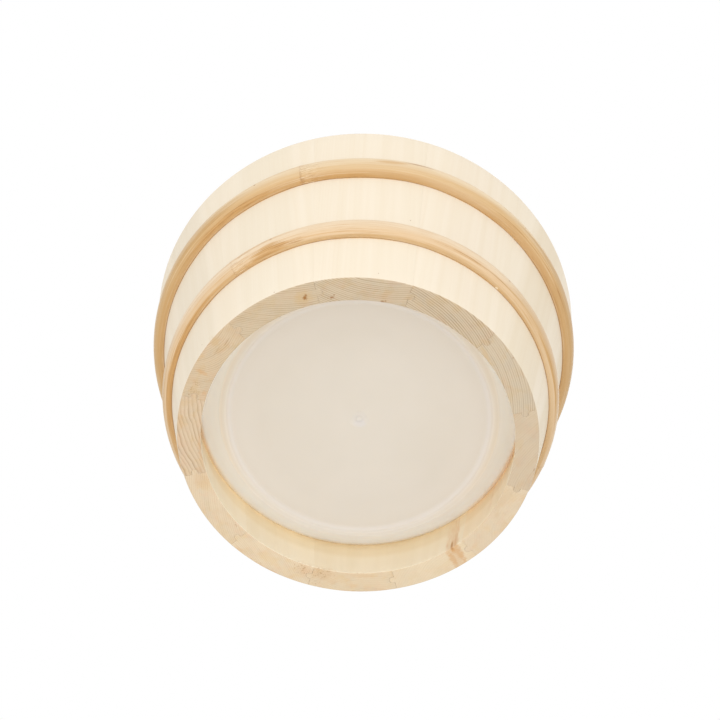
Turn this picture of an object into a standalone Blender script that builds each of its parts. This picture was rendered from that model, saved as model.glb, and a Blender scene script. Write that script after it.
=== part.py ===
"""A stave-built wooden bucket with two bent hoops and a lift-out plastic liner.

Metres, +Z up. The origin is the centre of the foot, on the surface the bucket stands on.
Azimuths are measured from -Y towards +X, and stave_01 is centred on -Y.
"""

import math

import bmesh
import bpy
from mathutils import Vector

# Staves: a cone of equal staves, turned smooth inside and out
STAVE_COUNT = 12
BUCKET_HEIGHT = 0.162
FOOT_RADIUS = 0.114
RIM_RADIUS = 0.1505
STAVE_THICKNESS = 0.015
STAVE_EDGE_RADIUS = 0.0014

# Tongue and groove between the staves
TONGUE_WIDTH = 0.004
TONGUE_DEPTH = 0.0035
GLUE_GAP = 0.0003

# Hoops: D-shaped strips that follow the slope of the wall
LOWER_HOOP_ABOVE_FOOT = 0.0405
LOWER_HOOP_WIDTH = 0.0152
LOWER_HOOP_THICKNESS = 0.0057
LOWER_HOOP_JOINT = math.radians(165)
UPPER_HOOP_BELOW_RIM = 0.0365
UPPER_HOOP_WIDTH = 0.0178
UPPER_HOOP_THICKNESS = 0.0068
UPPER_HOOP_JOINT = math.radians(197)
HOOP_ROUNDNESS = 2.5
HOOP_CLEARANCE = 0.0003
SCARF_ANGLE = math.radians(20)
SCARF_GAP = 0.0003

# Liner: a moulded bowl whose lip rests on the rim
LINER_BASE_ABOVE_FOOT = 0.031
LINER_WALL = 0.0018
LINER_SIDE_CLEARANCE = 0.0011
LINER_SEAT_GAP = 0.0003
LINER_FLAT_RADIUS = 0.0905
LINER_FLAT_ROUNDING = 0.004
LINER_KNEE_HEIGHT = 0.0461
LINER_KNEE_ROUNDING = 0.006
LIP_THICKNESS = 0.0018
LIP_SETBACK = 0.0008
LIP_INNER_RADIUS = 0.004
FOOT_RING_RADIUS = 0.087
FOOT_RING_WIDTH = 0.0016
FOOT_RING_HEIGHT = 0.0025
FOOT_RING_DRAFT = 0.0022
GATE_RADIUS = 0.005
GATE_DEPTH = 0.0010
GATE_STUB_RADIUS = 0.0014
GATE_STUB_HEIGHT = 0.0008

# Facets
ARC_STEPS_PER_STAVE = 6
TONGUE_STEPS = 4
EDGE_STEPS = 2
HOOP_STEPS = 8
CORNER_STEPS = 3
LIP_STEPS = 3
SHARP_ANGLE = math.radians(30)
MERGE_DISTANCE = 0.00001

# Worked out from the sizes above
STAVE_ANGLE = 2 * math.pi / STAVE_COUNT
HALF_STAVE = STAVE_ANGLE / 2
TAPER = (RIM_RADIUS - FOOT_RADIUS) / BUCKET_HEIGHT
SLOPE = math.atan(TAPER)
RING_STEPS = STAVE_COUNT * ARC_STEPS_PER_STAVE

COLLECTION_NAME = "wooden_bucket"
CUTTER_COLLECTION_NAME = "cutters"


def outer_radius(height):
    """Radius of the bucket's outside at a height above the foot."""
    return FOOT_RADIUS + TAPER * height


def inner_radius(height):
    """Radius of the bucket's inside at a height above the foot."""
    return outer_radius(height) - STAVE_THICKNESS


def on_circle(radius, azimuth, height, sideways=0.0):
    """Point at an azimuth from -Y towards +X, moved sideways along the circle's tangent."""
    radial = Vector((math.sin(azimuth), -math.cos(azimuth), 0))
    tangent = Vector((math.cos(azimuth), math.sin(azimuth), 0))
    return radial * radius + tangent * sideways + Vector((0, 0, height))


def clear_scene():
    for scene_object in list(bpy.data.objects):
        bpy.data.objects.remove(scene_object, do_unlink=True)


def make_collection(name):
    collection = bpy.data.collections.new(name)
    bpy.context.scene.collection.children.link(collection)
    return collection


def make_material(name, color, roughness, metallic=0.0):
    material = bpy.data.materials.new(name)
    material.use_nodes = True
    shader = material.node_tree.nodes["Principled BSDF"]
    shader.inputs["Base Color"].default_value = (*color, 1.0)
    shader.inputs["Roughness"].default_value = roughness
    shader.inputs["Metallic"].default_value = metallic
    material.diffuse_color = (*color, 1.0)
    return material


def make_object(name, data, collection):
    """An object with that mesh, or an empty where there is none."""
    new_object = bpy.data.objects.new(name, data)
    collection.objects.link(new_object)
    return new_object


def add_boolean(target, cutter):
    """Cut one object out of another, and show the cutter as a wire guide."""
    cut = target.modifiers.new("cut_" + cutter.name, "BOOLEAN")
    cut.operation = "DIFFERENCE"
    cut.solver = "EXACT"
    cut.object = cutter
    cutter.hide_render = True
    cutter.display_type = "WIRE"


def tongue_outline(half_width, depth):
    """Rounded tongue: (across the wall, along the circle) points from its inside to its outside."""
    straight = depth - half_width
    points = [(-half_width, 0.0)]
    for step in range(TONGUE_STEPS + 1):
        angle = math.pi * step / TONGUE_STEPS
        points.append((-half_width * math.cos(angle), straight + half_width * math.sin(angle)))
    points.append((half_width, 0.0))
    return points


def stave_section(height):
    """Outline at one height of a stave centred on -Y: outer arc, tongue, inner arc, groove."""
    outside = outer_radius(height)
    inside = inner_radius(height)
    middle = (outside + inside) / 2
    groove_side = -HALF_STAVE
    tongue_side = HALF_STAVE
    half_gap = GLUE_GAP / 2
    tongue = tongue_outline(TONGUE_WIDTH / 2, TONGUE_DEPTH)
    groove = tongue_outline(TONGUE_WIDTH / 2 + GLUE_GAP, TONGUE_DEPTH + GLUE_GAP)

    def arc(radius):
        points = [on_circle(radius, groove_side, height, half_gap)]
        for step in range(1, ARC_STEPS_PER_STAVE):
            points.append(on_circle(radius, groove_side + STAVE_ANGLE * step / ARC_STEPS_PER_STAVE, height))
        points.append(on_circle(radius, tongue_side, height, -half_gap))
        return points

    outline = arc(outside)
    for across, along in reversed(tongue):
        outline.append(on_circle(middle + across, tongue_side, height, along - half_gap))
    outline.extend(reversed(arc(inside)))
    for across, along in groove:
        outline.append(on_circle(middle + across, groove_side, height, along + half_gap))
    return outline


def make_stave_mesh(material):
    """Loft between the foot section and the rim section.

    The two are unlike: the arcs grow with the cone, the tongue and groove keep their size.
    """
    mesh_builder = bmesh.new()
    foot = [mesh_builder.verts.new(point) for point in stave_section(0.0)]
    rim = [mesh_builder.verts.new(point) for point in stave_section(BUCKET_HEIGHT)]
    count = len(foot)
    mesh_builder.faces.new(foot)
    mesh_builder.faces.new(reversed(rim))
    for index in range(count):
        following = (index + 1) % count
        mesh_builder.faces.new((foot[index], rim[index], rim[following], foot[following]))
    bmesh.ops.recalc_face_normals(mesh_builder, faces=mesh_builder.faces)

    # The turned edges at the foot and the rim are eased, and the joint's edges stay crisp
    eased = mesh_builder.edges.layers.float.new("bevel_weight_edge")
    inside_start = ARC_STEPS_PER_STAVE + 1 + len(tongue_outline(TONGUE_WIDTH / 2, TONGUE_DEPTH))
    for ring in (foot, rim):
        for start in (0, inside_start):
            for index in range(start, start + ARC_STEPS_PER_STAVE):
                edge = mesh_builder.edges.get((ring[index], ring[index + 1]))
                edge[eased] = 1.0
    mesh = bpy.data.meshes.new("stave")
    mesh_builder.to_mesh(mesh)
    mesh_builder.free()
    mesh.shade_smooth()
    mesh.set_sharp_from_angle(angle=SHARP_ANGLE)
    mesh.materials.append(material)
    return mesh


def make_stave(name, mesh, azimuth, shell, collection):
    """One stave of the ring. They all share a mesh, and each is turned to its own azimuth."""
    stave = make_object(name, mesh, collection)
    stave.parent = shell
    stave.rotation_euler.z = azimuth
    bevel = stave.modifiers.new("eased_edges", "BEVEL")
    bevel.limit_method = "WEIGHT"
    bevel.width = STAVE_EDGE_RADIUS
    bevel.segments = EDGE_STEPS
    return stave


def make_turned(name, profile, collection, material):
    """Turn a profile of (radius, height) points about the bucket's axis."""
    mesh = bpy.data.meshes.new(name)
    vertices = [(radius, 0.0, height) for radius, height in profile]
    edges = [(index, index + 1) for index in range(len(profile) - 1)]
    if profile[0][0] > 0:
        edges.append((len(profile) - 1, 0))
    mesh.from_pydata(vertices, edges, [])
    mesh.materials.append(material)
    turned = make_object(name, mesh, collection)

    # The facets line up with the facets of the staves
    turned.rotation_euler.z = HALF_STAVE - math.pi / 2
    screw = turned.modifiers.new("turn", "SCREW")
    screw.axis = "Z"
    screw.angle = 2 * math.pi
    screw.steps = RING_STEPS
    screw.render_steps = RING_STEPS
    screw.use_merge_vertices = True
    screw.merge_threshold = MERGE_DISTANCE
    screw.use_smooth_shade = True
    return turned


def hoop_profile(bottom_height, width, thickness):
    """D-shaped section on the sloping wall, from its top edge over the round side to its bottom."""
    along = Vector((math.sin(SLOPE), math.cos(SLOPE)))
    outward = Vector((math.cos(SLOPE), -math.sin(SLOPE)))
    base = Vector((outer_radius(bottom_height), bottom_height)) + outward * HOOP_CLEARANCE
    points = []
    for step in range(HOOP_STEPS + 1):
        angle = math.pi * step / HOOP_STEPS
        across = math.copysign(abs(math.cos(angle)) ** (2 / HOOP_ROUNDNESS), math.cos(angle))
        bulge = math.sin(angle) ** (2 / HOOP_ROUNDNESS)
        point = base + along * (width * (1 + across) / 2) + outward * (thickness * bulge)
        points.append((point.x, point.y))
    return points


def make_hoop(name, bottom_height, width, thickness, joint_azimuth, shell, collections, material):
    """One strip bent into a ring, whose ends meet on a slanted scarf joint."""
    parts, cutters = collections
    profile = hoop_profile(bottom_height, width, thickness)
    hoop = make_turned(name, profile, parts, material)
    hoop.parent = shell
    middle_height = bottom_height + width * math.cos(SLOPE) / 2
    middle_radius = outer_radius(middle_height) + HOOP_CLEARANCE + thickness / 2
    slit_length = 3 * thickness / math.sin(SCARF_ANGLE)
    slit_height = 2 * width

    mesh_builder = bmesh.new()
    bmesh.ops.create_cube(mesh_builder, size=1.0)
    bmesh.ops.scale(mesh_builder, vec=(slit_length, SCARF_GAP, slit_height), verts=mesh_builder.verts)
    mesh = bpy.data.meshes.new(name + "_scarf")
    mesh_builder.to_mesh(mesh)
    mesh_builder.free()
    scarf = make_object(name + "_scarf", mesh, cutters)
    scarf.location = on_circle(middle_radius, joint_azimuth, middle_height)
    scarf.rotation_euler.z = joint_azimuth + SCARF_ANGLE
    add_boolean(hoop, scarf)
    return hoop


def arc_points(centre, radius, start, end, steps):
    """Points on an arc in the (radius, height) plane, from one angle to another."""
    points = []
    for step in range(steps + 1):
        angle = start + (end - start) * step / steps
        points.append((centre[0] + radius * math.cos(angle), centre[1] + radius * math.sin(angle)))
    return points


def liner_outside(height):
    """Radius of the liner's outside at a height above the foot."""
    return inner_radius(height) - LINER_SIDE_CLEARANCE / math.cos(SLOPE)


def liner_inside(height):
    """Radius of the liner's inside at a height above the foot."""
    return liner_outside(height) - LINER_WALL / math.cos(SLOPE)


def rounding_centre(corner, first_inward, second_inward, radius):
    """Centre of the arc that rounds a corner between two lines, given their inward normals."""
    inward = (first_inward + second_inward) / (1 + first_inward.dot(second_inward))
    return corner + inward * radius


def liner_corner(setback):
    """The slanted corner between the liner's wall and base, from the wall down.

    The setback is 0 on the outside and the wall's thickness on the inside.
    """
    flat_edge = Vector((LINER_FLAT_RADIUS, LINER_BASE_ABOVE_FOOT))
    knee = Vector((liner_outside(LINER_KNEE_HEIGHT), LINER_KNEE_HEIGHT))
    slant = math.atan2(knee.y - flat_edge.y, knee.x - flat_edge.x)
    wall_inward = Vector((-math.cos(SLOPE), math.sin(SLOPE)))
    slant_inward = Vector((-math.sin(slant), math.cos(slant)))
    base_inward = Vector((0, 1))

    knee_centre = rounding_centre(knee, wall_inward, slant_inward, LINER_KNEE_ROUNDING)
    flat_centre = rounding_centre(flat_edge, slant_inward, base_inward, LINER_FLAT_ROUNDING)
    across_slant = slant - math.pi / 2
    points = arc_points(knee_centre, LINER_KNEE_ROUNDING - setback, -SLOPE, across_slant, CORNER_STEPS)
    points.extend(arc_points(
        flat_centre, LINER_FLAT_ROUNDING - setback, across_slant, -math.pi / 2, CORNER_STEPS,
    ))
    return points


def liner_profile():
    """Closed section of the liner, from the axis up its inside, over the lip and down its outside."""
    base = LINER_BASE_ABOVE_FOOT
    rest = BUCKET_HEIGHT + LINER_SEAT_GAP
    lip_top = rest + LIP_THICKNESS
    lip_edge = RIM_RADIUS - LIP_SETBACK
    edge_radius = LIP_THICKNESS / 2

    profile = [(0.0, base + LINER_WALL)]
    profile.extend(reversed(liner_corner(LINER_WALL)))

    # The inside rolls over the rim into the flat lip
    roll_run = LIP_INNER_RADIUS * math.tan((math.pi / 2 - SLOPE) / 2)
    roll_centre = (liner_inside(lip_top) + roll_run, lip_top - LIP_INNER_RADIUS)
    profile.extend(arc_points(roll_centre, LIP_INNER_RADIUS, math.pi - SLOPE, math.pi / 2, LIP_STEPS))

    # The lip's edge is rounded, and its underside rests on the staves' end grain
    edge_centre = (lip_edge - edge_radius, rest + edge_radius)
    profile.extend(arc_points(edge_centre, edge_radius, math.pi / 2, -math.pi / 2, 2 * LIP_STEPS))
    profile.append((liner_outside(rest) + STAVE_EDGE_RADIUS, rest))
    profile.append((liner_outside(rest - STAVE_EDGE_RADIUS), rest - STAVE_EDGE_RADIUS))
    profile.extend(liner_corner(0.0))

    # A bead stands below the base as the liner's own foot
    crest = base - FOOT_RING_HEIGHT
    profile.append((FOOT_RING_RADIUS + FOOT_RING_WIDTH / 2 + FOOT_RING_DRAFT / 4, base))
    profile.append((FOOT_RING_RADIUS + FOOT_RING_WIDTH / 2, crest))
    profile.append((FOOT_RING_RADIUS - FOOT_RING_WIDTH / 2, crest))
    profile.append((FOOT_RING_RADIUS - FOOT_RING_WIDTH / 2 - FOOT_RING_DRAFT, base))

    # The moulding gate sits in a shallow dimple on the axis
    profile.append((GATE_RADIUS, base))
    profile.append((GATE_RADIUS - GATE_DEPTH, base + GATE_DEPTH))
    profile.append((GATE_STUB_RADIUS, base + GATE_DEPTH))
    profile.append((GATE_STUB_RADIUS, base + GATE_DEPTH - GATE_STUB_HEIGHT))
    profile.append((0.0, base + GATE_DEPTH - GATE_STUB_HEIGHT))
    return profile


def make_liner(collection, material):
    """The bowl that holds the water and lifts straight up out of the staves."""
    return make_turned("liner", liner_profile(), collection, material)


def main():
    clear_scene()
    parts = make_collection(COLLECTION_NAME)
    cutters = make_collection(CUTTER_COLLECTION_NAME)
    spruce = make_material("spruce", (0.87, 0.76, 0.58), 0.6)
    bamboo = make_material("bamboo", (0.66, 0.43, 0.19), 0.45)
    plastic = make_material("milky_plastic", (0.78, 0.75, 0.70), 0.35)

    # What stays together when the liner is lifted out
    shell = make_object("shell", None, parts)
    stave_mesh = make_stave_mesh(spruce)
    for index in range(STAVE_COUNT):
        make_stave(f"stave_{index + 1:02d}", stave_mesh, index * STAVE_ANGLE, shell, parts)
    make_hoop(
        "lower_hoop", LOWER_HOOP_ABOVE_FOOT, LOWER_HOOP_WIDTH, LOWER_HOOP_THICKNESS,
        LOWER_HOOP_JOINT, shell, (parts, cutters), bamboo,
    )
    upper_hoop_bottom = BUCKET_HEIGHT - UPPER_HOOP_BELOW_RIM - UPPER_HOOP_WIDTH * math.cos(SLOPE)
    make_hoop(
        "upper_hoop", upper_hoop_bottom, UPPER_HOOP_WIDTH, UPPER_HOOP_THICKNESS,
        UPPER_HOOP_JOINT, shell, (parts, cutters), bamboo,
    )
    make_liner(parts, plastic)


main()
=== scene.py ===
"""The looks of a stave-built wooden bucket with bamboo hoops and a lift-out plastic liner.

Lengths are in metres, apart from the surface coordinates of wood and bamboo and what is placed by
them, which are in millimetres. Azimuths are measured from -Y towards +X, and the first stave is
centred on -Y.
"""

import math
import random
from collections import namedtuple

import bpy
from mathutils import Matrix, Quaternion, Vector


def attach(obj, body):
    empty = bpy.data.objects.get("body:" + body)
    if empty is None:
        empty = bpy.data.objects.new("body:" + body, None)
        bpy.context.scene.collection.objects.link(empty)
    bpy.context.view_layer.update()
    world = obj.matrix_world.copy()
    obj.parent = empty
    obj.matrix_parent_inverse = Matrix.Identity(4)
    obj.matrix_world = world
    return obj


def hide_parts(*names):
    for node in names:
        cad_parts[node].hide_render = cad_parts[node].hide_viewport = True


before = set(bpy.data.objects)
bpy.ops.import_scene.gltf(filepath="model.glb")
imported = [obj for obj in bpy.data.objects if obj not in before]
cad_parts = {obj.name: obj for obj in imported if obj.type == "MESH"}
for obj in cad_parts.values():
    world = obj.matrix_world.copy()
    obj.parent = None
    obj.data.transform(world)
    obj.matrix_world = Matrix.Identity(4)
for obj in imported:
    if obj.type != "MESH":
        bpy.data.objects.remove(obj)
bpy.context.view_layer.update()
scene = bpy.context.scene

# Staves, as in the CAD model
STAVE_COUNT = 12
BUCKET_HEIGHT = 0.162
FOOT_RADIUS = 0.114
RIM_RADIUS = 0.1505
STAVE_THICKNESS = 0.015
STAVE_EDGE_RADIUS = 0.0014
TONGUE_WIDTH = 0.004
TONGUE_DEPTH = 0.0035

# Hoops, as in the CAD model: (height of the lower edge, width, thickness, joint's azimuth)
HOOP_SIZES = {
    "lower_hoop": (0.0405, 0.0152, 0.0057, math.radians(165)),
    "upper_hoop": (0.10814, 0.0178, 0.0068, math.radians(197)),
}
HOOP_ROUNDNESS = 2.5
HOOP_CLEARANCE = 0.0003
SCARF_ANGLE = math.radians(20)

# Liner, as in the CAD model apart from its side clearance, knee, foot ring and gate
LINER_BASE_ABOVE_FOOT = 0.031
LINER_WALL = 0.0018
LINER_SIDE_CLEARANCE = 0.0014
LINER_SEAT_GAP = 0.0003
LINER_FLAT_RADIUS = 0.0905
LINER_FLAT_ROUNDING = 0.004
LINER_KNEE_HEIGHT = 0.0461
LINER_KNEE_ROUNDING = 0.0008
LINER_KNEE_INNER_ROUNDING = 0.003
LIP_THICKNESS = 0.0018
LIP_SETBACK = 0.0008
LIP_INNER_RADIUS = 0.004
FOOT_RING_RADIUS = 0.0862
FOOT_RING_WIDTH = 0.0014
FOOT_RING_HEIGHT = 0.0010
FOOT_RING_DRAFT = 0.0025
FOOT_RING_MEETS_CORNER = 0.0900
FOOT_RING_ROUNDING = 0.0008
FOOT_RING_CREST_ROUNDING = 0.0005
GATE_RADIUS = 0.0062
GATE_DEPTH = 0.0009
GATE_DRAFT = 0.0028
GATE_EDGE_ROUNDING = 0.0015
GATE_FLOOR_ROUNDING = 0.0013
GATE_STUB_RADIUS = 0.0012
GATE_STUB_HEIGHT = 0.0003
GATE_STUB_DRAFT = 0.0007
GATE_STUB_ROUNDING = 0.0003

# Worked out from the sizes above
STAVE_ANGLE = 2 * math.pi / STAVE_COUNT
HALF_STAVE = STAVE_ANGLE / 2
TAPER = (RIM_RADIUS - FOOT_RADIUS) / BUCKET_HEIGHT
SLOPE = math.atan(TAPER)
SLOPE_COS, SLOPE_SIN = math.cos(SLOPE), math.sin(SLOPE)
MM = 1000

# The wall's inside is turned a little fuller up to where the liner's knee meets it, in a close fit
SEAT_HEIGHT = 0.0461
SEAT_FULLNESS = 0.00162
SEAT_RUNOUT = 0.005

# Fine finish of the joints and the foot's edges, tighter than the CAD model's
FOOT_EDGE_RADIUS = 0.0007
JOINT_GAP = 0.00014
JOINT_GAP_AT_SURFACE = 0.00002
JOINT_CLOSES_OVER = 0.0006
STAVE_UNEVENNESS = 0.00006
HOOP_FINE_CLEARANCE = 0.00002

# A hoop's width and thickness vary in waves by these shares, and its height by this length. It
# swells at its nodes. Its outer end keeps a gap over its inner one and is cut to a thin tip.
HOOP_WAVES = 6
HOOP_WIDTH_VARIES = 0.018
HOOP_THICKNESS_VARIES = 0.02
HOOP_HEIGHT_VARIES = 0.00018
NODE_HALF_LENGTH = 0.0022
NODE_WIDENS = 0.0002
NODE_THICKENS = 0.00025
SCARF_GAP = 0.00008
SCARF_TIP = 0.00002

# Camera: it looks up at the foot from below
CAMERA_LENS = 72.02
CAMERA_PLACE = (0.01041, -0.45868, -0.78370)
CAMERA_TURN = (153.0266, -1.6870, -1.7832)
CAMERA_SENSOR = 36
CAMERA_SEES_FROM = 0.01

# Stage: the lamps' places, what they are aimed at, their sizes and powers
FLOOR_RADIUS = 6.0
FLOOR_CORNERS = 96
FLOOR_BELOW_FOOT = 0.0004
FLOOR_COLOR = (0.86, 0.86, 0.85, 1.0)
WHITE = (1.0, 1.0, 1.0, 1.0)
LIGHT_FROM_ABOVE = 0.78
LIGHT_FROM_BELOW = 0.95
HORIZON = (-0.7, 0.7)
LAMPS = {
    "key": ((-0.05, -1.35, -0.95), (0, 0, 0.08), 1.2, 9.0),
    "from_above": ((0.3, 0.6, 2.0), (0, 0, 0.1), 1.6, 6.0),
}

# Enough bounces for light to fill the pale recess in the foot
DIFFUSE_BOUNCES = 10
ALL_BOUNCES = 16


def outer_radius(height):
    return FOOT_RADIUS + TAPER * height


def inner_radius(height):
    return outer_radius(height) - STAVE_THICKNESS


def seat_fullness(height):
    """How far the wall's inside stands in at a height, beyond an even thickness."""
    if height <= SEAT_HEIGHT:
        return SEAT_FULLNESS * height / SEAT_HEIGHT
    return SEAT_FULLNESS * max(0.0, 1 - (height - SEAT_HEIGHT) / SEAT_RUNOUT)


def on_circle(radius, azimuth, height, sideways=0.0):
    """Point at an azimuth from -Y towards +X, moved sideways along the circle's tangent."""
    radial = Vector((math.sin(azimuth), -math.cos(azimuth), 0))
    tangent = Vector((math.cos(azimuth), math.sin(azimuth), 0))
    return radial * radius + tangent * sideways + Vector((0, 0, height))


# Meshes, shaded smooth over edges up to an angle

SMOOTH_UP_TO = math.radians(32)


def smooth_mesh(name, points, faces):
    """A mesh shaded smooth, apart from its sharp edges and from caps of many corners."""
    mesh = bpy.data.meshes.new(name)
    mesh.from_pydata(points, [], faces)
    mesh.shade_smooth()
    for polygon in mesh.polygons:
        if len(polygon.vertices) > 4:
            polygon.use_smooth = False
    mesh.set_sharp_from_angle(angle=SMOOTH_UP_TO)
    return mesh


def skin(name, rings):
    """Closed skin over rings of equally many points, capped at its ends."""
    count = len(rings[0])
    last = (len(rings) - 1) * count
    faces = []
    for low in range(0, last, count):
        high = low + count
        for index in range(count):
            following = (index + 1) % count
            faces.append((low + index, low + following, high + following, high + index))
    faces.append(tuple(reversed(range(count))))
    faces.append(tuple(range(last, last + count)))
    return smooth_mesh(name, [point for ring in rings for point in ring], faces)


def add_coordinates(mesh, name, values):
    """Surface coordinates, in millimetres, that a material reads by name."""
    attribute = mesh.attributes.new(name, "FLOAT_VECTOR", "POINT")
    attribute.data.foreach_set("vector", [component for value in values for component in value])


def add_object(name, data):
    """An object in the scene."""
    added = bpy.data.objects.new(name, data)
    scene.collection.objects.link(added)
    return added


def finish_piece(node, mesh, material, body):
    """Stand a mesh in for its CAD node."""
    mesh.materials.append(material)
    piece = add_object("fine_" + node, mesh)
    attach(piece, body)
    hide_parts(node)


# Shader nodes

class Nodes:
    """A node tree, with short calls that add a node and return its output."""

    def __init__(self, tree):
        self.tree = tree

    def put(self, socket, value):
        """Link an output to a socket, or set a plain value on it."""
        if isinstance(value, bpy.types.NodeSocket):
            self.tree.links.new(value, socket)
        else:
            socket.default_value = value

    def node(self, kind, inputs, **settings):
        """Add a node of a kind and return the node itself."""
        new_node = self.tree.nodes.new("ShaderNode" + kind)
        for key, value in settings.items():
            setattr(new_node, key, value)
        for key, value in inputs.items():
            self.put(new_node.inputs[key], value)
        return new_node

    def attribute(self, name):
        return self.node("Attribute", {}, attribute_name=name).outputs["Vector"]

    def math(self, operation, *values):
        return self.node("Math", dict(enumerate(values)), operation=operation).outputs[0]

    def times(self, first, second):
        return self.math("MULTIPLY", first, second)

    def minus(self, first, second):
        return self.math("SUBTRACT", first, second)

    def vector(self, operation, *values):
        output = "Value" if operation == "LENGTH" else "Vector"
        return self.node("VectorMath", dict(enumerate(values)), operation=operation).outputs[output]

    def split(self, vector):
        return self.node("SeparateXYZ", {0: vector}).outputs[:]

    def join(self, x, y, z=0.0):
        return self.node("CombineXYZ", {0: x, 1: y, 2: z}).outputs[0]

    def noise(self, place, detail=2.0, roughness=0.5, output="Fac"):
        """Noise about 0.5. It varies over one unit of the place."""
        inputs = {"Vector": place, "Scale": 1.0, "Detail": detail, "Roughness": roughness}
        return self.node("TexNoise", inputs).outputs[output]

    def stretched(self, place, scale, **settings):
        return self.noise(self.vector("MULTIPLY", place, scale), **settings)

    def wander(self, place, scale, reach, detail):
        """A vector that wanders about zero, by up to half the reach on each axis."""
        color = self.stretched(place, scale, detail=detail, output="Color")
        return self.vector("MULTIPLY", self.vector("SUBTRACT", color, (0.5, 0.5, 0.5)), reach)

    def span(self, value, low, high, to_low=0.0, to_high=1.0):
        """Map a value smoothly from one range to another, and no further."""
        inputs = {
            "Value": value, "From Min": low, "From Max": high, "To Min": to_low, "To Max": to_high,
        }
        return self.node("MapRange", inputs, interpolation_type="SMOOTHSTEP").outputs[0]

    def fade(self, value, low, high, strength=1.0):
        """Map a value smoothly from a range to a strength that falls to nothing."""
        return self.span(value, low, high, strength, 0.0)

    def ramp(self, value, stops):
        """Levels between 0 and 1 along stops of (position, level)."""
        new_node = self.node("ValToRGB", {0: value})
        elements = new_node.color_ramp.elements
        for _ in range(len(stops) - len(elements)):
            elements.new(0.5)
        for element, (position, level) in zip(elements, stops):
            element.position = position
            element.color = (level, level, level, 1.0)
        return new_node.outputs["Color"]

    def mix(self, factor, first, second):
        """Mix two colours."""
        new_node = self.node("Mix", {0: factor}, data_type="RGBA")
        for index, value in ((6, first), (7, second)):
            self.put(new_node.inputs[index], (*value, 1.0) if isinstance(value, tuple) else value)
        return new_node.outputs[2]

    def tint(self, factor, color, tint):
        """Multiply a colour by a tint, as far as the factor says."""
        new_node = self.node("Mix", {0: factor}, data_type="RGBA", blend_type="MULTIPLY")
        self.put(new_node.inputs[6], color)
        self.put(new_node.inputs[7], (*tint, 1.0))
        return new_node.outputs[2]


class Shader(Nodes):
    """The nodes of a piece's material, whose surface is a single principled shader."""

    def __init__(self, name):
        self.material = bpy.data.materials.new(name)
        self.material.use_nodes = True
        super().__init__(self.material.node_tree)
        self.surface = self.tree.nodes["Principled BSDF"]

    def finish(self, color, roughness, specular, relief, depth_and_strength):
        """Give the surface its looks, and return the material."""
        depth, strength = depth_and_strength
        bump = self.node("Bump", {"Height": relief, "Distance": depth, "Strength": strength})
        self.put(self.surface.inputs["Base Color"], color)
        self.put(self.surface.inputs["Roughness"], roughness)
        self.surface.inputs["Specular IOR Level"].default_value = specular
        self.put(self.surface.inputs["Normal"], bump.outputs[0])
        return self.material


# Softwood

LONG_PALE = (0.87, 0.77, 0.62)
LONG_DEEP = (0.845, 0.74, 0.58)
LONG_LATE = (0.76, 0.60, 0.41)

# Painted light and shade on the wall's inside: a slight lightening of the whole inside face, a
# painted shade that darkens its part deep in the recess, and painted light that lightens its part
# near the liner's seat; factors that lighten or darken some staves' inner faces, and tones of some
# staves' outer faces, by index
INNER_PAINTED_LIGHT = (1.01, 1.03, 1.00)
RECESS_PAINTED_SHADE = (0.93, 0.90, 0.84)
SEAT_PAINTED_LIGHT = (1.16, 1.155, 1.18)
INNER_FACE_LEVELS = {4: (1.01, 0.97, 0.93), 7: (1.03, 1.04, 1.05), 8: (1.06, 1.08, 1.10)}
OUTER_TONES = {
    1: (0.99, 0.985, 0.985), 2: (0.96, 0.945, 0.91), 3: (0.957, 0.94, 0.90),
    9: (0.96, 0.95, 0.94), 10: (0.96, 0.96, 0.955), 11: (0.985, 0.99, 0.99),
}

# Where the turned faces lie outwards from the middle of the wall, where the painted shade of the
# recess and the painted light near the seat set in up the grain, and how upright the normal of a
# cut end is
INNER_FACE = (-6.5, -5.0)
OUTER_FACE = (5.0, 6.5)
RECESS_SETS_IN = (20.0, 29.0)
SEAT_SETS_IN = (34.0, 47.0)
CUT_END = (0.40, 0.85)

# Cut ends, and amber, pink and grey stains on them
END_PALE = (0.665, 0.54, 0.375)
END_DEEP = (0.57, 0.435, 0.285)
END_LATE = (0.38, 0.25, 0.135)
END_STAINS = ((0.99, 0.945, 0.85), (1.01, 0.955, 0.94), (0.95, 0.975, 1.01))

# Marks
BROWN = (0.32, 0.14, 0.045)
KNOT = (0.34, 0.15, 0.035)
AMBER = (0.62, 0.32, 0.11)
TAN = (0.60, 0.41, 0.20)
SPECKLED = (0.40, 0.23, 0.09)
MARK_FADES = (0.35, 1.30)

WOOD_ROUGHNESS = (0.52, 0.66)
WOOD_SPECULAR = 0.35
WOOD_RELIEF = (0.00006, 0.5)

# A thin warm line of painted shade follows a hoop's lower edge, where the hoop meets the wall. It
# sets in behind the hoop and fades out below it, at these distances below the edge. A hoop dips
# only at the front, and a smooth step that reaches so many half widths of the dip stands in for
# its bell curve.
HOOP_CONTACT_SHADE = (0.95, 0.77, 0.50)
HOOP_SHADE_SETS_IN = (-0.003, -0.002)
HOOP_SHADE_FADES = (0.0003, 0.0009)
FRONT = (-0.01, 0.0)
DIP_REACH = 1.45
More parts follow.
